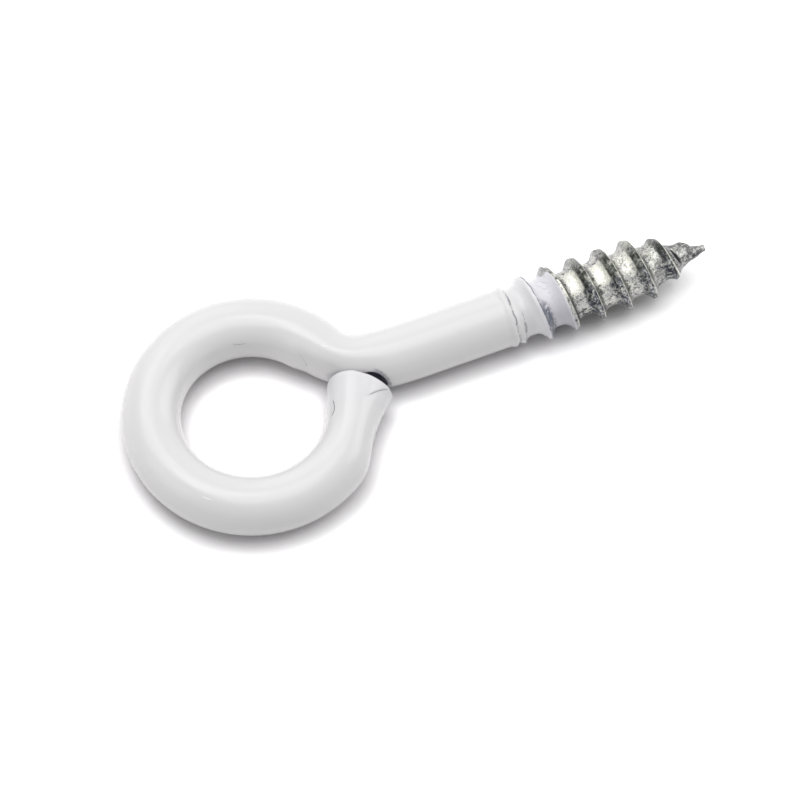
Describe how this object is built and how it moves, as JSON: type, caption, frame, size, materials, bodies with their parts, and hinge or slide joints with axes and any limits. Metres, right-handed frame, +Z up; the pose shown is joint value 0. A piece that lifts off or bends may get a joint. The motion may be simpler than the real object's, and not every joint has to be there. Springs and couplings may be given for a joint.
{
  "type": "screw eye",
  "caption": "Coated steel screw eye: a closed wire ring on a straight shank with a rolled wood-screw thread and a gimlet point.",
  "frame": {"origin": "centre of the ring's hole", "axes": "+X along the shank towards the tip, +Y in the plane of the ring on the side where the shank's bend joins it, +Z up as the piece lies at rest"},
  "size_m": [0.0418, 0.0176, 0.0049],
  "materials": {
    "coated_steel": "glossy white coat, worn through to bright zinc on the thread"
  },
  "bodies": {
    "root": {"screw_eye": "coated_steel"}
  },
  "joints": []
}
